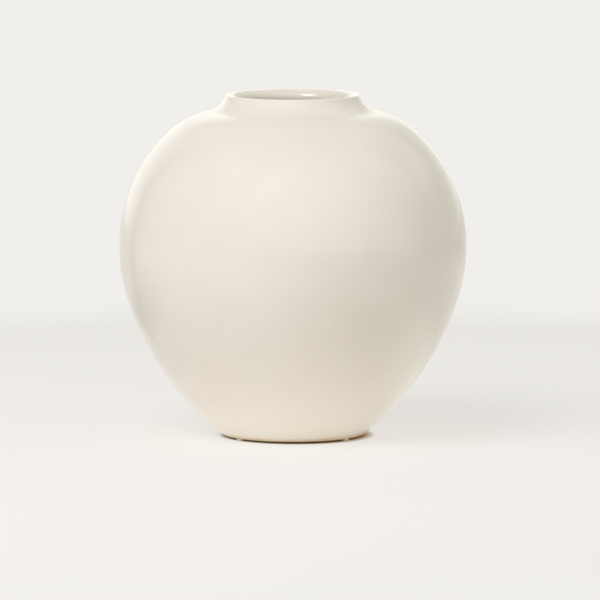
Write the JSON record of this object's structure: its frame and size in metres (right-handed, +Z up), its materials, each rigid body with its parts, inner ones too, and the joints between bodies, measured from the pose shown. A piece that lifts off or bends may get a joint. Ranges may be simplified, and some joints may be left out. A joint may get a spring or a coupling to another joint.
{
  "type": "moon jar",
  "caption": "Round cream-glazed ceramic jar with a high shoulder, short hollow neck, open mouth and narrow foot on small pads; stands as an ornament or holds stems.",
  "frame": {"origin": "centre of the jar on the surface that its pads stand on", "axes": "+Z up the jar's axis, front towards -Y, +X to the right"},
  "size_m": [0.2774, 0.2774, 0.2736],
  "materials": {
    "cream_glaze": "satin gloss",
    "liner_glaze": "satin gloss",
    "bare_clay": "bare, fine-grained",
    "fired_slip": "bare",
    "pad_rubber": "soft matt",
    "pad_glue": "clear film"
  },
  "bodies": {
    "root": {"lower_bowl": "bare_clay", "upper_bowl": "bare_clay", "neck_collar": "bare_clay", "waist_slip": "fired_slip", "collar_slip": "fired_slip", "outer_glaze": "cream_glaze", "liner_glaze": "liner_glaze", "front_left_pad": "pad_rubber", "front_right_pad": "pad_rubber", "rear_left_pad": "pad_rubber", "rear_right_pad": "pad_rubber", "pad_adhesive": "pad_glue"}
  },
  "joints": []
}
